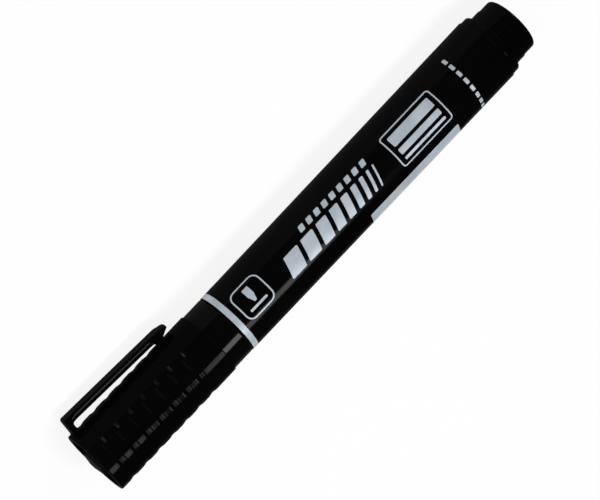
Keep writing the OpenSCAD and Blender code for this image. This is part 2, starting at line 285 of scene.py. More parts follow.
# Mesh fineness
SEGMENTS = 192
NIB_SEGMENTS = 128
SEAT_SEGMENTS = 64
ARC_STEPS = 5
FLAT_STEPS = 8
DOME_STEPS = 6
TIP_STEPS = 12
SHAFT_STEPS = 24
FOOT_STEPS = 20
GUARD = 0.15 * MM
SIDE_GUARD = 0.03 * MM
FILLET_ROOM = 0.45
GUARD_ROOM = 0.5
MITRE_LIMIT = 0.5
RIGHT_ANGLE = math.radians(90)
SHARP_ANGLE = math.radians(35)

# Tolerances: on the axis, on the same surface, and on a cutting plane
ON_AXIS = 1e-7
SAME = 1e-6
ON_PLANE = 1e-8

# Silver print: its centre line faces the camera, and its lengths round the barrel hold at this radius
CAMERA_ELEVATION = math.radians(42)
PRINT_TURN = math.pi - CAMERA_ELEVATION
PRINT_R = 8.3 * MM

# How far the print stands proud, its thickness, and the width of the strips that it bends in
PRINT_PROUD = 0.02 * MM
PRINT_THICK = 0.05 * MM
PRINT_STRIP = 0.4 * MM


# Outlines and meshes

def rounded(corners, closed=True, guard=GUARD):
    """Turns corners of (x, r, fillet) into points of (x, r, corner number), each fillet as an arc.
    A guard point on each side of an arc keeps the shading of long faces flat."""
    points = []
    last = len(corners) - 1
    for i, (x, r, fillet) in enumerate(corners):
        here = Vector((x, r))
        if fillet <= 0 or (not closed and i in (0, last)):
            points.append((x, r, i))
            continue
        before = Vector(corners[i - 1][:2]) - here
        after = Vector(corners[(i + 1) % len(corners)][:2]) - here
        half_turn = (math.pi - before.angle(after)) / 2
        room = FILLET_ROOM * min(before.length, after.length)
        tangent = min(fillet * math.tan(half_turn), room)
        radius = tangent / math.tan(half_turn)
        bisector = (before.normalized() + after.normalized()).normalized()
        centre = here + bisector * radius / math.cos(half_turn)
        arm = here + before.normalized() * tangent - centre
        swing = 2 * half_turn * math.copysign(1, before.cross(after))
        lead = tangent + guard
        if guard and lead < GUARD_ROOM * before.length:
            points.append((*(here + before.normalized() * lead), i))
        for k in range(ARC_STEPS + 1):
            spoke = arm.copy()
            spoke.rotate(Matrix.Rotation(-swing * k / ARC_STEPS, 2))
            points.append((*(centre + spoke), i))
        if guard and lead < GUARD_ROOM * after.length:
            points.append((*(here + after.normalized() * lead), i))
    return points


def domed_end(end, inward, edge_r, dome_r):
    """Corners of a shallow domed end face, from the moulding mark in its middle out to a radius."""
    mark = [(end + inward * depth * MM, r * MM, GATE_EDGE) for depth, r in GATE_MARK]
    radii = [edge_r * k / DOME_STEPS for k in range(1, DOME_STEPS + 1)]
    return mark + [(end + inward * dome_depth(r, dome_r), r, 0) for r in radii if r > GATE_R]


def dome_depth(r, dome_r):
    """How far a shallow dome has dropped at a radius."""
    return r * r / (2 * dome_r)


def on_ring(x, r, turn):
    """The point at radius r and a turn about the axis, counted from the clip."""
    return Vector((x, r * math.cos(CLIP_TURN + turn), r * math.sin(CLIP_TURN + turn)))


def near_spoke(turn, count, offset, width, r):
    """Whether a turn lies on one of several spokes of the same width."""
    pitch = 2 * math.pi / count
    away = (turn - offset + pitch / 2) % pitch - pitch / 2
    return abs(away) * r < width / 2


def lathe(outline, closed=True, segments=SEGMENTS, reshape=None):
    """Spins an outline about the axis. The two ends of an open outline lie on the axis."""
    mesh = bmesh.new()
    rings = []
    for x, r, _ in outline:
        count = segments if r > ON_AXIS else 1
        ring = []
        for k in range(count):
            turn = 2 * math.pi * k / segments
            radius = reshape(x, r, turn) if reshape and count > 1 else r
            ring.append(mesh.verts.new(on_ring(x, radius, turn)))
        rings.append(ring)
    following = rings[1:] + rings[:1] if closed else rings[1:]
    for first, second in zip(rings, following):
        for k in range(segments):
            n = (k + 1) % segments
            corners = [first[k % len(first)], first[n % len(first)],
                       second[n % len(second)], second[k % len(second)]]
            mesh.faces.new(list(dict.fromkeys(corners)))
    return mesh


def inward_normals(points):
    """The mitred normal at each point of a closed outline, towards its inside."""
    normals = []
    following = points[1:] + points[:1]
    winding = math.copysign(1, sum(a.cross(b) for a, b in zip(points, following)))
    for i, here in enumerate(points):
        pair = []
        for a, b in ((points[i - 1], here), (here, following[i])):
            along = (b - a).normalized()
            pair.append(Vector((-along.y, along.x)))
        middle = (pair[0] + pair[1]).normalized()
        normals.append(middle / max(middle.dot(pair[0]), MITRE_LIMIT) * winding)
    return normals


def prism(outline, edges, half_width, reshape):
    """Widens an outline of (x, r) across the clip, with each point's own rounding at both sides.
    The last argument shifts a point along the axis by its distance from the middle."""
    mesh = bmesh.new()
    points = [Vector(point[:2]) for point in outline]
    count = len(points)
    inward = inward_normals(points)

    def layer(side, insets, widths):
        """One ring of points on a side, each drawn inwards and put out to its own width."""
        ring = []
        for here, normal, inset, aside in zip(points, inward, insets, widths):
            x, r = here + normal * inset
            ring.append(mesh.verts.new(on_ring(reshape(x, aside), r, 0) + ACROSS * side * aside))
        return ring

    layers = []
    for side in (-1, 1):
        stack = []
        for k in range(1, FLAT_STEPS + 1):
            share = math.sin(RIGHT_ANGLE * k / FLAT_STEPS)
            flats = [(half_width - edge - GUARD) * share for edge in edges]
            stack.append(layer(side, [0] * count, flats))
        for k in range(ARC_STEPS + 1):
            turn = RIGHT_ANGLE * k / ARC_STEPS
            insets = [edge * (1 - math.cos(turn)) for edge in edges]
            widths = [half_width - edge * (1 - math.sin(turn)) for edge in edges]
            stack.append(layer(side, insets, widths))
        stack.append(layer(side, [edge + SIDE_GUARD for edge in edges], [half_width] * count))
        layers.append(stack)
    column = layers[0][::-1] + layers[1]
    for first, second in zip(column, column[1:]):
        for i in range(count):
            n = (i + 1) % count
            mesh.faces.new((first[i], first[n], second[n], second[i]))
    ends = [mesh.faces.new(column[0]), mesh.faces.new(column[-1])]
    mesh.normal_update()
    bmesh.ops.triangulate(mesh, faces=ends)
    return mesh


def cut_along(mesh, spot, normal):
    """Adds edges to a mesh where a plane crosses it."""
    everything = mesh.verts[:] + mesh.edges[:] + mesh.faces[:]
    bmesh.ops.bisect_plane(mesh, geom=everything, dist=ON_PLANE, plane_co=spot, plane_no=normal)


def as_object(name, mesh):
    """Turns a mesh under construction into an object of the scene."""
    data = bpy.data.meshes.new(name)
    mesh.to_mesh(data)
    mesh.free()
    made = bpy.data.objects.new(name, data)
    bpy.context.scene.collection.objects.link(made)
    return made


def dress(piece, material):
    """Gives a piece its one material and its smooth shading."""
    piece.data.materials.clear()
    piece.data.materials.append(material)
    piece.data.shade_smooth()
    piece.data.set_sharp_from_angle(angle=SHARP_ANGLE)


def place(name, mesh, material, body, node=None):
    """Makes a piece of a mesh, smooth but for its sharp edges, and lets it ride on its body."""
    bmesh.ops.recalc_face_normals(mesh, faces=mesh.faces)
    piece = as_object(name, mesh)
    dress(piece, material)
    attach(piece, body)
    if node:
        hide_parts(node)
    return piece


# Materials

def new_material(name):
    """A material, its node tree and its shader."""
    material = bpy.data.materials.new(name)
    material.use_nodes = True
    return material, material.node_tree, material.node_tree.nodes["Principled BSDF"]


def grain(tree, scale, stretch=(1, 1, 1), detail=4, roughness=0.6):
    """Noise in the piece's own coordinates, stretched along the axes."""
    source = tree.nodes.new("ShaderNodeTexCoord")
    mapping = tree.nodes.new("ShaderNodeMapping")
    mapping.inputs["Scale"].default_value = stretch
    texture = tree.nodes.new("ShaderNodeTexNoise")
    texture.inputs["Scale"].default_value = scale
    texture.inputs["Detail"].default_value = detail
    texture.inputs["Roughness"].default_value = roughness
    tree.links.new(source.outputs["Object"], mapping.inputs["Vector"])
    tree.links.new(mapping.outputs["Vector"], texture.inputs["Vector"])
    return texture.outputs["Fac"]


def spread(tree, value, low, high, start=0.3, end=0.7):
    """Maps noise to a range of values."""
    node = tree.nodes.new("ShaderNodeMapRange")
    node.inputs["From Min"].default_value = start
    node.inputs["From Max"].default_value = end
    node.inputs["To Min"].default_value = low
    node.inputs["To Max"].default_value = high
    tree.links.new(value, node.inputs["Value"])
    return node.outputs["Result"]


def shades(tree, value, dark, light, start=0.35, end=0.65):
    """Maps noise to a blend of two colours."""
    node = tree.nodes.new("ShaderNodeValToRGB")
    node.color_ramp.elements[0].position = start
    node.color_ramp.elements[0].color = (*dark, 1)
    node.color_ramp.elements[1].position = end
    node.color_ramp.elements[1].color = (*light, 1)
    tree.links.new(value, node.inputs["Fac"])
    return node.outputs["Color"]


def relief(tree, shader, layers):
    """Stacks bumps of (noise, height) on a shader and on its coat."""
    below = None
    for value, height in layers:
        bump = tree.nodes.new("ShaderNodeBump")
        bump.inputs["Strength"].default_value = 1
        bump.inputs["Distance"].default_value = height
        tree.links.new(value, bump.inputs["Height"])
        if below:
            tree.links.new(below, bump.inputs["Normal"])
        below = bump.outputs["Normal"]
    tree.links.new(below, shader.inputs["Normal"])
    tree.links.new(below, shader.inputs["Coat Normal"])


def plastic(name, tones, gloss, ripple, coat):
    """Moulded black plastic: faint flow lines, fine handling scratches and a slight orange peel.
    It takes its two tones, its range of roughness, the height of its ripple, and its coat's weight
    and roughness."""
    material, tree, shader = new_material(name)
    flow = grain(tree, scale=90, stretch=(0.25, 1, 1), detail=2)
    scratches = grain(tree, scale=700, stretch=(0.12, 2, 2), detail=6, roughness=0.75)
    peel = grain(tree, scale=1400, detail=2)
    tree.links.new(shades(tree, flow, *tones), shader.inputs["Base Color"])
    tree.links.new(spread(tree, scratches, *gloss), shader.inputs["Roughness"])
    relief(tree, shader, ((peel, ripple), (scratches, ripple / 4)))
    weight, roughness = coat
    shader.inputs["Specular IOR Level"].default_value = 0
    shader.inputs["Coat Weight"].default_value = weight
    shader.inputs["Coat Roughness"].default_value = roughness
    return material


def silver_ink():
    """Silver printing ink: fine flakes, slightly uneven cover and a soft sheen."""
    material, tree, shader = new_material("silver_ink")
    flake_height = 0.004 * MM
    cover_height = 0.01 * MM
    flakes = grain(tree, scale=5200, detail=3, roughness=0.8)
    cover = grain(tree, scale=260, detail=3)
    tint = shades(tree, cover, dark=(0.36, 0.415, 0.47), light=(0.45, 0.495, 0.54))
    tree.links.new(tint, shader.inputs["Base Color"])
    tree.links.new(spread(tree, flakes, low=0.34, high=0.56), shader.inputs["Roughness"])
    relief(tree, shader, ((flakes, flake_height), (cover, cover_height)))
    shader.inputs["Metallic"].default_value = 0.08
    shader.inputs["Specular IOR Level"].default_value = 0.2
    return material


def fibre(name, dark, light):
    """Bonded fibre soaked with ink: strands along the axis, with a dull sheen."""
    material, tree, shader = new_material(name)
    strand_height = 0.03 * MM
    clump_height = 0.02 * MM
    strands = grain(tree, scale=2600, stretch=(0.08, 1, 1), detail=5, roughness=0.7)
    clumps = grain(tree, scale=600, stretch=(0.4, 1, 1), detail=3)
    tree.links.new(shades(tree, strands, dark, light), shader.inputs["Base Color"])
    tree.links.new(spread(tree, clumps, low=0.6, high=0.85), shader.inputs["Roughness"])
    relief(tree, shader, ((strands, strand_height), (clumps, clump_height)))
    shader.inputs["Sheen Weight"].default_value = 0.15
    return material


def clear_film():
    """The thin film round the reservoir, wrinkled along its length."""
    material, tree, shader = new_material("clear_film")
    wrinkle_height = 0.04 * MM
    wrinkles = grain(tree, scale=240, stretch=(0.3, 1, 1), detail=4)
    tint = shades(tree, wrinkles, dark=(0.6, 0.61, 0.64), light=(0.74, 0.75, 0.78))
    tree.links.new(tint, shader.inputs["Base Color"])
    tree.links.new(spread(tree, wrinkles, low=0.2, high=0.4), shader.inputs["Roughness"])
    relief(tree, shader, ((wrinkles, wrinkle_height),))
    return material


BLACK = (0.0008, 0.0008, 0.0009), (0.0016, 0.0016, 0.0018)
DARK_GREY = (0.004, 0.004, 0.0043), (0.008, 0.008, 0.0085)
GLOSSY = (0.13, 0.21)
SATIN = (0.3, 0.4)
DULL = (0.35, 0.5)
barrel_plastic = plastic("barrel_plastic", BLACK, GLOSSY, ripple=0.001 * MM, coat=(0.05, 0.12))
collar_plastic = plastic("collar_plastic", BLACK, GLOSSY, ripple=0.001 * MM, coat=(0.08, 0.1))
cap_plastic = plastic("cap_plastic", BLACK, SATIN, ripple=0.002 * MM, coat=(0.03, 0.08))
holder_plastic = plastic("holder_plastic", DARK_GREY, DULL, ripple=0.004 * MM, coat=(0.1, 0.4))
nib_fibre = fibre("nib_fibre", dark=(0.004, 0.004, 0.005), light=(0.02, 0.02, 0.024))
ink_fibre = fibre("ink_fibre", dark=(0.006, 0.006, 0.008), light=(0.024, 0.024, 0.03))
film = clear_film()
silver = silver_ink()


# The moulded pieces

def barrel_r(x):
    """Outer radius of the tapered barrel."""
    share = (x - BARREL_TAIL) / (SHOULDER - BARREL_TAIL)
    return BARREL_TAIL_R + share * (BARREL_FRONT_R - BARREL_TAIL_R)


def land(start):
    """One raised land on the neck."""
    return [
        (start, NECK_R, LAND_FILLET),
        (start + LAND_RISE, LAND_R, LAND_EDGE),
        (start + LAND_W - LAND_RISE, LAND_R, LAND_EDGE),
        (start + LAND_W, NECK_R, LAND_FILLET),
    ]


def make_barrel():
    """The tapered tube, with its neck and two lands, the ribs in its bore and the plug's seat."""
    outline = rounded([
        (BARREL_TAIL, SEAT_R, SEAT_EDGE),
        (BARREL_TAIL, BARREL_TAIL_R, BARREL_EDGE),
        (SHOULDER, BARREL_FRONT_R, BARREL_EDGE),
        (SHOULDER, NECK_R, 0),
        *land(SHOULDER + LAND_RISE),
        *land(NECK_END - LAND_W - LAND_RISE),
        (NECK_END, NECK_R, NECK_EDGE),
        (NECK_END, NECK_BORE_R, NECK_EDGE),
        (BORE_END, NECK_BORE_R, 0),
        (BORE_END, BORE_R, 0),
        (RIB_START + RIB_RAMP, BORE_R, 0),
        (RIB_START, BORE_R, 0),
        (SEAT_END, BORE_R, 0),
        (SEAT_END, SEAT_R, 0),
    ])

    def ribbed(x, r, turn):
        """Raises the ribs in the bore."""
        on_bore = abs(r - BORE_R) < SAME and x > RIB_START + SAME
        on_rib = near_spoke(turn, RIBS, math.pi / RIBS, RIB_W, RIB_R)
        return RIB_R if on_bore and on_rib else r

    mesh = lathe(outline, reshape=ribbed)
    place("moulded_barrel", mesh, barrel_plastic, "barrel", "barrel")


def make_tail_plug():
    """The plug in the barrel's tail, with its flange and the stepped stub."""
    stub_corner = STUB_END + dome_depth(STUB_LEAD_R, STUB_DOME_R)
    outline = rounded([
        *domed_end(STUB_END, 1, STUB_LEAD_R - STUB_EDGE, STUB_DOME_R),
        (stub_corner, STUB_LEAD_R, STUB_EDGE),
        (-STUB_SEAT_LEN, STUB_LEAD_R, STUB_STEP_FILLET),
        (-STUB_SEAT_LEN, LAND_R, STUB_STEP_EDGE),
        (0, LAND_R, FLANGE_FILLET),
        (0, FLANGE_R, BARREL_EDGE),
        (FLANGE_T, FLANGE_R, BARREL_EDGE),
        (FLANGE_T, PLUG_R, PLUG_FILLET),
        (PLUG_END, PLUG_R, PLUG_EDGE),
        (PLUG_END, PLUG_HOLLOW_R, PLUG_RIM_EDGE),
        (PLUG_FLOOR, PLUG_HOLLOW_R, PLUG_FLOOR_FILLET),
        (PLUG_FLOOR, 0, 0),
    ], closed=False)
    mesh = lathe(outline, closed=False)
    place("moulded_tail_plug", mesh, barrel_plastic, "barrel", "tail_plug")


def make_nib_holder():
    """The plug in the barrel's neck, with its flange, cone, nozzle and vent slots."""
    outline = rounded([
        (HOLDER_REAR, HOLDER_INNER_R, HOLDER_INNER_EDGE),
        (HOLDER_REAR, HOLDER_R, HOLDER_EDGE),
        (HOLDER_FACE, HOLDER_R, 0),
        (HOLDER_FACE, HOLDER_FLANGE_R, HOLDER_FLANGE_REAR_EDGE),
        (CONE_START, HOLDER_FLANGE_R, HOLDER_FLANGE_EDGE),
        (CONE_START, CONE_R, CONE_FILLET),
        (NOZZLE_START, NOZZLE_R, NOZZLE_FILLET),
        (NOZZLE_END - NOZZLE_BEVEL, NOZZLE_R, NOZZLE_BEVEL_EDGE),
        (NOZZLE_END, NOZZLE_R - NOZZLE_BEVEL, NOZZLE_EDGE),
        (NOZZLE_END, NIB_BORE_R, NIB_BORE_EDGE),
        (HOLDER_FACE, NIB_BORE_R, HOLDER_STEP_EDGE),
        (HOLDER_FACE, HOLDER_INNER_R, HOLDER_STEP_EDGE),
    ])

    def vented(x, r, turn):
        """Cuts the vents into the bore and the rounded edges at its ends."""
        on_bore = r < NIB_BORE_R + VENT_REACH
        on_vent = near_spoke(turn, VENTS, 0, VENT_W, r)
        return r + VENT_DEPTH if on_bore and on_vent else r

    mesh = lathe(outline, reshape=vented)
    place("moulded_nib_holder", mesh, holder_plastic, "barrel", "nib_holder")


def make_nib():
    """The bullet nib, slightly uneven along its fibres."""
    ball = NIB_TIP - NIB_TIP_R
    taper = NIB_TIP - NIB_TAPER
    # The turn at which the cone touches the round tip
    touch = math.acos(NIB_TIP_R / math.hypot(NIB_R, ball - taper)) - math.atan2(ball - taper, NIB_R)
    turns = [touch + (RIGHT_ANGLE - touch) * k / TIP_STEPS for k in range(TIP_STEPS)]
    tip = [(ball + NIB_TIP_R * math.sin(turn), NIB_TIP_R * math.cos(turn), 0) for turn in turns]
    steps = [k / SHAFT_STEPS for k in range(SHAFT_STEPS)]
    rear = Vector((NIB_REAR + NIB_CHAMFER, NIB_R))
    front = Vector((taper, NIB_R))
    shaft = [(*rear.lerp(front, share), 0) for share in steps]
    cone = [(*front.lerp(Vector(tip[0][:2]), share), 0) for share in steps[1:]]
    outline = rounded([
        (NIB_REAR, 0, 0),
        (NIB_REAR, NIB_R - NIB_CHAMFER, NIB_REAR_EDGE),
        *shaft,
        (taper, NIB_R, NIB_TAPER_EDGE),
        *cone,
        *tip,
        (NIB_TIP, 0, 0),
    ], closed=False)

    def fibrous(x, r, turn):
        """Sinks the surface a little between the strands."""
        spot = (x / FIBRE_LEN, math.cos(turn) * FIBRE_DENSITY, math.sin(turn) * FIBRE_DENSITY)
        return r - FIBRE_RISE * (1 + noise.noise(Vector(spot))) * min(1, r / NIB_R)

    mesh = lathe(outline, closed=False, segments=NIB_SEGMENTS, reshape=fibrous)
    place("felt_nib", mesh, nib_fibre, "barrel", "nib")


def groove(centre):
    """One shallow grip groove with straight walls, a round floor and soft edges."""
    return [
        (centre - GROOVE_HALF, CAP_R, GROOVE_EDGE_R),
        (centre, CAP_R - GROOVE_DEPTH, GROOVE_FLOOR_R),
        (centre + GROOVE_HALF, CAP_R, GROOVE_EDGE_R),
    ]


def make_cap():
    """The cap with its glossy collar, grip grooves, parting line, recessed end and clip seat."""
    centres = [CAP_RIM - GROOVE_FIRST - GROOVE_PITCH * k for k in reversed(range(GROOVES))]
    outline = rounded([
        (CAP_MOUTH, CAP_BORE_R, MOUTH_EDGE),
        (CAP_MOUTH, COLLAR_R, MOUTH_EDGE),
        (COLLAR_END, COLLAR_R, COLLAR_FILLET),
        (COLLAR_END, CAP_R, GRIP_EDGE),
        *[corner for centre in centres for corner in groove(centre)],
        (CAP_RIM, CAP_R, RIM_EDGE),
        (CAP_RIM, RIM_INNER_R, RIM_INNER_EDGE),
        (RECESS_FLOOR, RIM_INNER_R, RECESS_FILLET),
        (RECESS_FLOOR, STUD_HOLE_R, STUD_HOLE_EDGE),
        (END_WALL, STUD_HOLE_R, STUD_HOLE_EDGE),
        (END_WALL, CAP_INNER_R, END_WALL_FILLET),
        (CAP_BORE_STOP + CAP_BORE_R - CAP_INNER_R, CAP_INNER_R, CAP_BORE_FILLET),
        (CAP_BORE_STOP, CAP_BORE_R, CAP_BORE_FILLET),
    ])

    def parted(x, r, turn):
        """Raises the fine parting line on the cap's outside."""
        on_line = near_spoke(turn, PARTING_LINES, 0, PARTING_W, r)
        return r + PARTING_RIDGE if r > PARTING_LEAST_R and on_line else r

    mesh = lathe(outline, reshape=parted)
    cap = place("moulded_cap", mesh, cap_plastic, "cap", "cap_shell")
    cut_seat(cap)
    cap.data.materials.append(collar_plastic)
    for face in cap.data.polygons:
        face.material_index = int(face.center.x < COLLAR_END)


def cut_seat(cap):
    """Cuts the round seat that the clip's foot sits in."""
    mesh = bmesh.new()
    radius = CLIP_FOOT_R + CLIP_SEAT_GAP
    turned = ACROSS.to_track_quat("Z", "Y").to_matrix().to_4x4()
    lay = Matrix.Translation(on_ring(FOOT_X, FOOT_R, 0)) @ turned
    bmesh.ops.create_cone(mesh, cap_ends=True, segments=SEAT_SEGMENTS, radius1=radius, radius2=radius,
                          depth=CLIP_W + 2 * CLIP_SEAT_GAP, matrix=lay)
    cutter = as_object("seat_cutter", mesh)
    seat = cap.modifiers.new("seat", "BOOLEAN")
    seat.operation = "DIFFERENCE"
    seat.solver = "EXACT"
    seat.object = cutter
    whole = cap.evaluated_get(bpy.context.evaluated_depsgraph_get())
    result = bpy.data.meshes.new_from_object(whole)
    cap.modifiers.remove(seat)
    cap.data = result
    bpy.data.objects.remove(cutter)
    dress(cap, cap_plastic)


def make_inner_cap():
    """The seal cup, its stud through the cap's end, and the head that holds it there."""
    head_corner = HEAD_TOP - dome_depth(HEAD_R, HEAD_DOME_R)
    outline = rounded([
        *domed_end(HEAD_TOP, -1, HEAD_R - HEAD_EDGE, HEAD_DOME_R),
        (head_corner, HEAD_R, HEAD_EDGE),
        (HEAD_FOOT, HEAD_R, HEAD_FOOT_EDGE),
        (HEAD_FOOT, STUD_R, STUD_TOP_FILLET),
        (CUP_END, STUD_R, STUD_FILLET),
        (CUP_END, SEAL_OUTER_R, CUP_EDGE),
        (SEAL_MOUTH, SEAL_OUTER_R, SEAL_EDGE),
        (SEAL_MOUTH, SEAL_R, SEAL_LEAD),
        (CUP_FLOOR, SEAL_R, CUP_FLOOR_FILLET),
        (CUP_FLOOR, 0, 0),
    ], closed=False)
    mesh = lathe(outline, closed=False)
    place("moulded_inner_cap", mesh, holder_plastic, "inner_cap", "inner_cap")


def arm_inner(x):
    """Radius of the clip arm's inner face."""
    return CAP_R + CLIP_SPACE_ROOT - (CLIP_FACE - x) * CLIP_LEAN


def arm_outer(x):
    """Radius of the clip arm's outer face."""
    return arm_inner(x) + CLIP_T * math.hypot(1, CLIP_LEAN)


def drawn_in(x, depth):
    """How far the clip's sides are drawn in at a station and a depth below the outer face: below a
    bend they run straight to the inner face. Both fade out towards the nub and the root."""
    along = min(depth, CLIP_T) - CREASE_DEPTH
    if along <= 0:
        return 0
    bent = min(along, CREASE_BEND)
    inward = CREASE_R - math.sqrt(CREASE_R ** 2 - bent ** 2) + (along - bent) * math.tan(CREASE_TURN)
    fade = min(x - CREASE_START, CREASE_END - x) / CREASE_FADE
    return inward * min(max(fade, 0), 1)


def crease_sides(mesh):
    """Gives the clip's sides the soft crease and the draft of a moulding."""
    outward = on_ring(0, 1, 0)
    along = Vector((1, 0, 0))
    stretch = math.hypot(1, CLIP_LEAN)
    for k in range(ARC_STEPS + 1):
        share = k / ARC_STEPS
        depth = CREASE_DEPTH + CREASE_BEND * share
        below = on_ring(CLIP_FACE, arm_outer(CLIP_FACE) - depth * stretch, 0)
        cut_along(mesh, below, outward - along * CLIP_LEAN)
        for x in (CREASE_START + CREASE_FADE * share, CREASE_END - CREASE_FADE * share):
            cut_along(mesh, along * x, along)
    for corner in mesh.verts:
        depth = (arm_outer(corner.co.x) - corner.co.dot(outward)) / stretch
        share = drawn_in(corner.co.x, depth) / (CLIP_W / 2)
        corner.co -= ACROSS * corner.co.dot(ACROSS) * share


def make_clip():
    """The sprung clip: its round foot, web, arm, nub and flared lip."""
    web = CLIP_FACE - CLIP_WEB
    foot_reach = math.asin(CLIP_WEB / 2 / CLIP_FOOT_R)
    foot_arc = 2 * math.pi - 2 * foot_reach
    swings = [foot_reach + foot_arc * k / FOOT_STEPS for k in range(FOOT_STEPS + 1)]
    foot = [(FOOT_X + CLIP_FOOT_R * math.sin(swing), FOOT_R + CLIP_FOOT_R * math.cos(swing))
            for swing in swings]
    # Each corner: place along the axis, radius, fillet in side view, and rounding of its side edges
    corners = [
        (CLIP_FACE - CLIP_RAKE, arm_outer(CLIP_FACE), CLIP_CROWN_R, CLIP_EDGE),
        *[(x, r, 0, CLIP_FOOT_EDGE) for x, r in foot],
        (web, arm_inner(web), CLIP_WEB_FILLET, CLIP_SOFT_EDGE),
        (NUB_ROOT + CLIP_SPACE_NUB / 2, arm_inner(NUB_ROOT), NUB_ROOT_FILLET, CLIP_SOFT_EDGE),
        (NUB_ROOT - NUB_DRAFT, NUB_R, NUB_REAR_EDGE, CLIP_SOFT_EDGE),
        (NUB_X + NUB_DRAFT, NUB_R, NUB_FRONT_EDGE, CLIP_SOFT_EDGE),
        (NUB_X, (NUB_R + LIP_R) / 2, LIP_FILLET, CLIP_SOFT_EDGE),
        (LIP_END, LIP_R, LIP_TIP_EDGE, LIP_EDGE),
        (LIP_END, LIP_R + LIP_T, LIP_TIP_EDGE, LIP_EDGE),
        (NUB_X, arm_outer(NUB_X), LIP_SWEEP_R, LIP_SWEEP_EDGE),
    ]
    outline = rounded([corner[:3] for corner in corners])
    edges = [corners[number][3] for _, _, number in outline]

    def round_nose(x, aside):
        """Draws the lip's corners back on an arc, and less so towards the nub."""
        past = max(aside - (CLIP_W / 2 - LIP_CORNER_R), 0)
        back = LIP_CORNER_R - math.sqrt(max(LIP_CORNER_R ** 2 - past ** 2, 0))
        return x + back * max(1 - (x - LIP_END) / LIP_LEN, 0)

    mesh = prism(outline, edges, CLIP_W / 2, round_nose)
    crease_sides(mesh)
    place("moulded_clip", mesh, cap_plastic, "clip", "pocket_clip")


def dress_reservoir():
    """Gives their materials to the two solids that stay as they are."""
    for node, material in (("reservoir_core", ink_fibre), ("reservoir_wrap", film)):
        slots = frame["nodes"][node].data.materials
        slots.clear()
        slots.append(material)


make_barrel()
make_tail_plug()
make_nib_holder()
make_nib()
make_cap()
make_inner_cap()
make_clip()
dress_reservoir()


# The silver print: plain generic marks

def patch(name, outlines):
    """Prints a flat shape of (x, s) outlines on the barrel, where s runs round it. The first
    outline is the shape's edge and the others are holes."""
    mesh = bmesh.new()
    for outline in outlines:
        corners = [mesh.verts.new((x, s, 0)) for x, s, _ in outline]
        for a, b in zip(corners, corners[1:] + corners[:1]):
            mesh.edges.new((a, b))
    bmesh.ops.triangle_fill(mesh, use_beauty=True, edges=mesh.edges[:])
    low = min(corner.co.y for corner in mesh.verts)
    high = max(corner.co.y for corner in mesh.verts)
    for k in range(1, math.ceil((high - low) / PRINT_STRIP)):
        cut_along(mesh, (0, low + k * PRINT_STRIP, 0), (0, 1, 0))
    top = mesh.faces[:]
    border = [edge for edge in mesh.edges if edge.is_boundary]
    under = {}
    for corner in mesh.verts[:]:
        x, s, _ = corner.co
        turn = PRINT_TURN - CLIP_TURN + s / PRINT_R
        corner.co = on_ring(x, barrel_r(x) + PRINT_PROUD, turn)
        under[corner] = mesh.verts.new(on_ring(x, barrel_r(x) + PRINT_PROUD - PRINT_THICK, turn))
    for face in top:
        mesh.faces.new([under[corner] for corner in reversed(face.verts)])
    for edge in border:
        a, b = edge.verts
        mesh.faces.new((a, b, under[b], under[a]))
    place(name, mesh, silver, "barrel")


def rectangle(x0, x1, s0, s1, corner):
    """A rectangle with rounded corners."""
    return rounded([(x0, s0, corner), (x1, s0, corner), (x1, s1, corner), (x0, s1, corner)], guard=0)


def line_frame(x0, x1, s0, s1, corner, line):
    """A rectangle with rounded corners, and the hole that leaves only a line round it."""
    return [rectangle(x0, x1, s0, s1, corner),
            rectangle(x0 + line, x1 - line, s0 + line, s1 - line, corner - line)]


def slant_bar(x, width, s0, s1, lean):
    """A bar across the barrel that leans along it, with its corners slightly rounded."""
    corner = min(0.25 * MM, width / 3)
    return rounded([
        (x, s0, corner),
        (x + width, s0, corner),
        (x + width + lean, s1, corner),
        (x + lean, s1, corner),
    ], guard=0)


def print_band():
    """The ring beside the cap's mouth."""
    width = 1.75 * MM
    start = SHOULDER - width
    end = SHOULDER - BARREL_EDGE
    outline = rounded([
        (start, barrel_r(start) + PRINT_PROUD, 0),
        (end, barrel_r(end) + PRINT_PROUD, 0),
        (end, barrel_r(end) + PRINT_PROUD - PRINT_THICK, 0),
        (start, barrel_r(start) + PRINT_PROUD - PRINT_THICK, 0),
    ])
    place("print_band", lathe(outline), silver, "barrel")


def print_badge():
    """A rounded frame round a plain nib that draws a line."""
    x = CAP_RIM - 49.75 * MM
    half_x = 4.25 * MM
    half_s = 4.05 * MM
    outline = line_frame(x - half_x, x + half_x, -half_s, half_s, corner=1.9 * MM, line=0.36 * MM)
    patch("print_badge_frame", outline)
    body = 0.9 * MM
    point = 0.3 * MM
    top = 2.7 * MM
    waist = 0.6 * MM
    tip = -1.1 * MM
    top_corner = 0.2 * MM
    waist_corner = 0.3 * MM
    tip_corner = 0.25 * MM
    patch("print_badge_nib", [rounded([
        (x - body, top, top_corner),
        (x + body, top, top_corner),
        (x + body, waist, waist_corner),
        (x + point, tip, tip_corner),
        (x - point, tip, tip_corner),
        (x - body, waist, waist_corner),
    ], guard=0)])
    reach_x = 2.6 * MM
    line_low = -2.4 * MM
    line_high = -1.8 * MM
    line = rectangle(x - reach_x, x + reach_x, line_low, line_high, corner=0.29 * MM)
    patch("print_badge_line", [line])


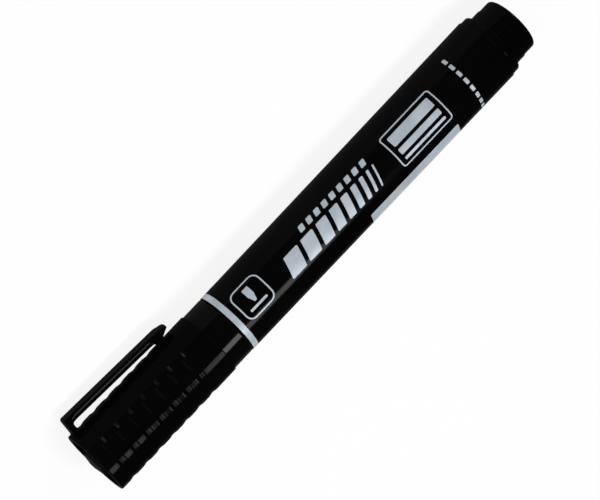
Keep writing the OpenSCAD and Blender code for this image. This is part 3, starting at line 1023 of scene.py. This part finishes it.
def print_strokes():
    """A row of leaning bars, from broad to fine, with a row of short dashes beside it."""
    lean = -1.6 * MM
    x = CAP_RIM - 59 * MM
    gap = 1.15 * MM
    low = -4.2 * MM
    high = 0.9 * MM
    for k, width in enumerate((4.4, 3.8, 3.2, 2.6, 2.1, 1.6, 1.2, 0.8, 0.5)):
        x -= width * MM
        patch(f"print_stroke_{k}", [slant_bar(x, width * MM, low, high, lean)])
        x -= gap
    dashes = 9
    first = CAP_RIM - 69 * MM
    pitch = 2.5 * MM
    dash = 1.5 * MM
    dash_low = 1.9 * MM
    dash_high = 3.5 * MM
    for k in range(dashes):
        patch(f"print_dash_{k}", [slant_bar(first - k * pitch, dash, dash_low, dash_high, lean / 3)])


def print_scale():
    """A framed scale of three line widths."""
    x0 = CAP_RIM - 110.9 * MM
    x1 = CAP_RIM - 94.7 * MM
    s0 = -5.3 * MM
    s1 = 3.75 * MM
    patch("print_scale_frame", line_frame(x0, x1, s0, s1, corner=0.9 * MM, line=0.34 * MM))
    side_margin = 1.5 * MM
    top_margin = 1.35 * MM
    gap = 0.85 * MM
    corner = 0.3 * MM
    s = s1 - top_margin
    for k, width in enumerate((2.6, 1.5, 0.7)):
        s -= width * MM
        line = rectangle(x0 + side_margin, x1 - side_margin, s, s + width * MM, corner)
        patch(f"print_scale_line_{k}", [line])
        s -= gap


def print_panel():
    """A bare panel on the side away from the clip."""
    x0 = CAP_RIM - 110.8 * MM
    x1 = CAP_RIM - 81.9 * MM
    s0 = math.radians(-110) * PRINT_R
    s1 = math.radians(-54) * PRINT_R
    patch("print_panel", [rectangle(x0, x1, s0, s1, corner=0.4 * MM)])


def print_ring():
    """A ring of fine dashes near the tail."""
    dashes = 18
    x = CAP_RIM - 118.5 * MM
    half = 0.45 * MM
    dash = 1.5 * MM
    pitch = 2.2 * MM
    first = math.radians(40) * PRINT_R
    for k in range(dashes):
        s = first - k * pitch
        patch(f"print_ring_{k}", [rectangle(x - half, x + half, s - dash, s, corner=0.2 * MM)])


print_band()
print_badge()
print_strokes()
print_scale()
print_panel()
print_ring()


# Stage, lights and camera

MIDDLE = Vector(((STUB_END + HEAD_TOP) / 2, 0, 0))
TAILWARD = Vector((-1, 0, 0))
LAMP_ALONG = Vector((1, 0.001, 0))

# Camera
PHOTO_W = 600
FOCAL_PX = 3072
SENSOR = 36
NEAR_LIMIT = 0.01
CAMERA_AWAY = 0.677
CAMERA_BEYOND_CAP = 50.9 * MM
AIM_X = 65.05 * MM
AIM_ASIDE = 0.52 * MM
AXIS_RISE = math.radians(46.62)

# Floor and world
FLOOR_HALF = 3
FLOOR_GAP = 0.02 * MM
FLOOR_Z = cad_box[0].z - FLOOR_GAP
FLOOR_GREY = 0.9
FLOOR_ROUGHNESS = 0.9
WHITE_SHARE = 0.88
WORLD_LIGHT = 0.12

# Lamps: two softboxes on the near side, three strips overhead, and two low lamps
SOFTBOX_AWAY = 1.6
SOFTBOX_SIZE = (1.2, 1.2)
STRIP_AWAY = 0.6
STRIP_DIRECTION = (0, 0.14, 1)
STRIP_W = 0.18
LOW_AWAY = 0.7
LOW_DIRECTION = (0.27, -0.958, 0.071)
LOW_SIZE = (0.016, 0.36)
LOW_POWER = 0.32


def facing(back, along):
    """A rotation whose Z axis points back and whose X axis lies nearest to a direction."""
    back = back.normalized()
    side = (along - back * along.dot(back)).normalized()
    return Matrix((side, back.cross(side), back)).transposed()


def add_camera():
    """The camera of the photo's view, turned so that the marker rises across the picture."""
    towards = Vector((0, math.cos(PRINT_TURN), math.sin(PRINT_TURN)))
    spot = Vector((CAP_RIM + CAMERA_BEYOND_CAP, 0, 0)) + towards * CAMERA_AWAY
    aim = Vector((AIM_X, 0, 0))
    aim -= facing(spot - aim, TAILWARD).col[1] * AIM_ASIDE
    turned = facing(spot - aim, TAILWARD) @ Matrix.Rotation(-AXIS_RISE, 3, "Z")
    data = bpy.data.cameras.new("camera")
    data.sensor_width = SENSOR
    data.lens = SENSOR * FOCAL_PX / PHOTO_W
    data.clip_start = NEAR_LIMIT
    camera = bpy.data.objects.new("camera", data)
    camera.matrix_world = Matrix.Translation(spot) @ turned.to_4x4()
    bpy.context.scene.collection.objects.link(camera)
    bpy.context.scene.camera = camera


def add_light(name, direction, distance, size, energy, target=MIDDLE):
    """A softbox of (length along the marker, width) that faces a target."""
    back = Vector(direction).normalized()
    data = bpy.data.lights.new(name, "AREA")
    data.shape = "RECTANGLE"
    data.size, data.size_y = size
    data.energy = energy
    lamp = bpy.data.objects.new(name, data)
    turned = facing(back, LAMP_ALONG)
    lamp.matrix_world = Matrix.Translation(target + back * distance) @ turned.to_4x4()
    bpy.context.scene.collection.objects.link(lamp)


def add_lights():
    """All lamps, each with its own power in watts."""
    for end, aside, power in (("cap", 0.72, 6), ("tail", -0.72, 7)):
        direction = (aside, -0.56, 0.45)
        add_light(f"{end}_side_softbox", direction, SOFTBOX_AWAY, SOFTBOX_SIZE, power)
    strips = (("tail", -8, 0.08, 1.4), ("cap", 82.8, 0.044, 0.75), ("end", 262, 0.08, 0.85))
    for end, station, length, power in strips:
        target = Vector((station * MM, 0, 0))
        size = (length, STRIP_W)
        add_light(f"overhead_{end}_strip", STRIP_DIRECTION, STRIP_AWAY, size, power, target)
    for end, station in (("mouth", 77), ("rim", 129)):
        target = Vector((station * MM, 0, 0))
        add_light(f"low_{end}_lamp", LOW_DIRECTION, LOW_AWAY, LOW_SIZE, LOW_POWER, target)


def white_board():
    """White where it is seen or mirrored, with the object's shadow at part of its depth."""
    material, tree, shader = new_material("white_board")
    shader.inputs["Base Color"].default_value = (FLOOR_GREY, FLOOR_GREY, FLOOR_GREY, 1)
    shader.inputs["Roughness"].default_value = FLOOR_ROUGHNESS
    shader.inputs["Specular IOR Level"].default_value = 0
    glow = tree.nodes.new("ShaderNodeEmission")
    glow.inputs["Strength"].default_value = 1
    path = tree.nodes.new("ShaderNodeLightPath")
    seen = path.outputs["Is Camera Ray"]
    for ray in ("Is Glossy Ray", "Is Transmission Ray"):
        either = tree.nodes.new("ShaderNodeMath")
        either.operation = "MAXIMUM"
        tree.links.new(seen, either.inputs[0])
        tree.links.new(path.outputs[ray], either.inputs[1])
        seen = either.outputs["Value"]
    share = tree.nodes.new("ShaderNodeMath")
    share.operation = "MULTIPLY"
    share.inputs[1].default_value = WHITE_SHARE
    tree.links.new(seen, share.inputs[0])
    mix = tree.nodes.new("ShaderNodeMixShader")
    tree.links.new(share.outputs["Value"], mix.inputs["Fac"])
    tree.links.new(shader.outputs["BSDF"], mix.inputs[1])
    tree.links.new(glow.outputs["Emission"], mix.inputs[2])
    tree.links.new(mix.outputs["Shader"], tree.nodes["Material Output"].inputs["Surface"])
    return material


def add_floor():
    """The white floor that the marker lies on."""
    mesh = bmesh.new()
    ways = ((-1, -1), (1, -1), (1, 1), (-1, 1))
    mesh.faces.new([mesh.verts.new((x * FLOOR_HALF, y * FLOOR_HALF, FLOOR_Z)) for x, y in ways])
    floor = as_object("floor", mesh)
    floor.data.materials.append(white_board())


def add_world():
    """An even, faint light from all round."""
    world = bpy.data.worlds.new("studio")
    world.use_nodes = True
    background = world.node_tree.nodes["Background"]
    background.inputs["Color"].default_value = (1, 1, 1, 1)
    background.inputs["Strength"].default_value = WORLD_LIGHT
    bpy.context.scene.world = world


add_camera()
add_floor()
add_world()
add_lights()
bpy.context.scene.view_settings.view_transform = "Standard"
